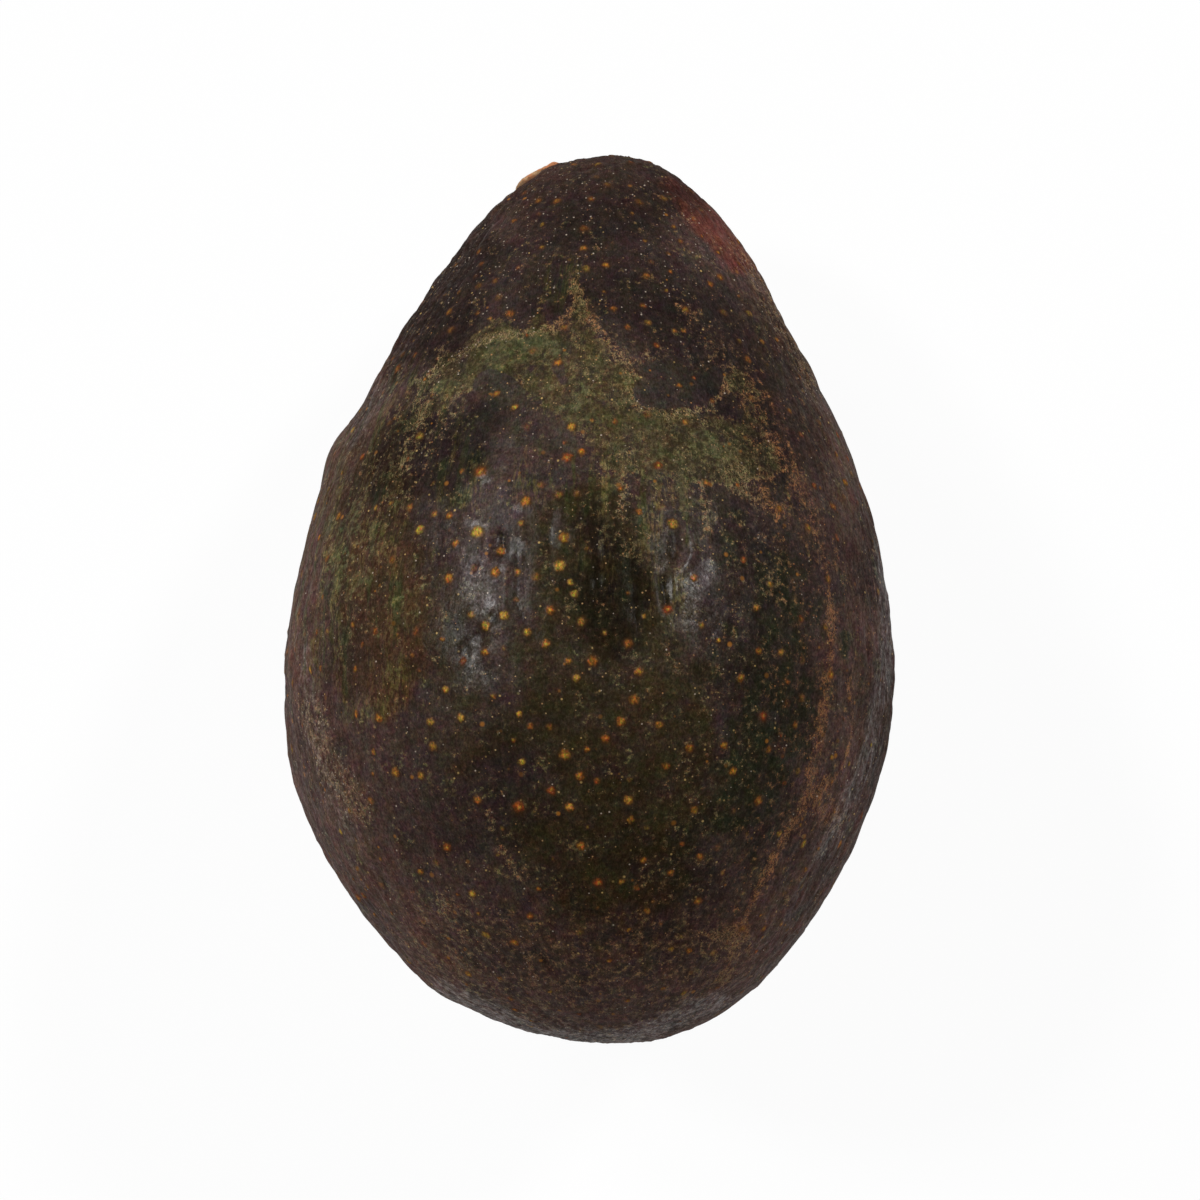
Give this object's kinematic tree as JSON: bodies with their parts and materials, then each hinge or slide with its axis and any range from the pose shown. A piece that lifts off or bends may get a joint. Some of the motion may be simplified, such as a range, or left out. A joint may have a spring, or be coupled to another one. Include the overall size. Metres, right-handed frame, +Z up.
{
  "type": "avocado",
  "caption": "Whole dark-skinned avocado lying on its side, pear-shaped, with pebbled skin and a dried stem button in the neck.",
  "frame": {"origin": "bottom centre of the bounding box of the fruit as it lies, on the surface that it rests on", "axes": "+Z up; +Y towards the stem end, along the fruit's length; +X to the right when the stem end points away"},
  "size_m": [0.0684, 0.1, 0.0647],
  "materials": {
    "skin": "thick pebbled fruit skin, waxy satin, purple-black with an olive band, tan russeting and small orange spots",
    "dried_stem": "dry corky stem tissue, matte, tan with a brown scar"
  },
  "bodies": {
    "root": {"fruit": "skin", "stem_button": "dried_stem"}
  },
  "joints": []
}
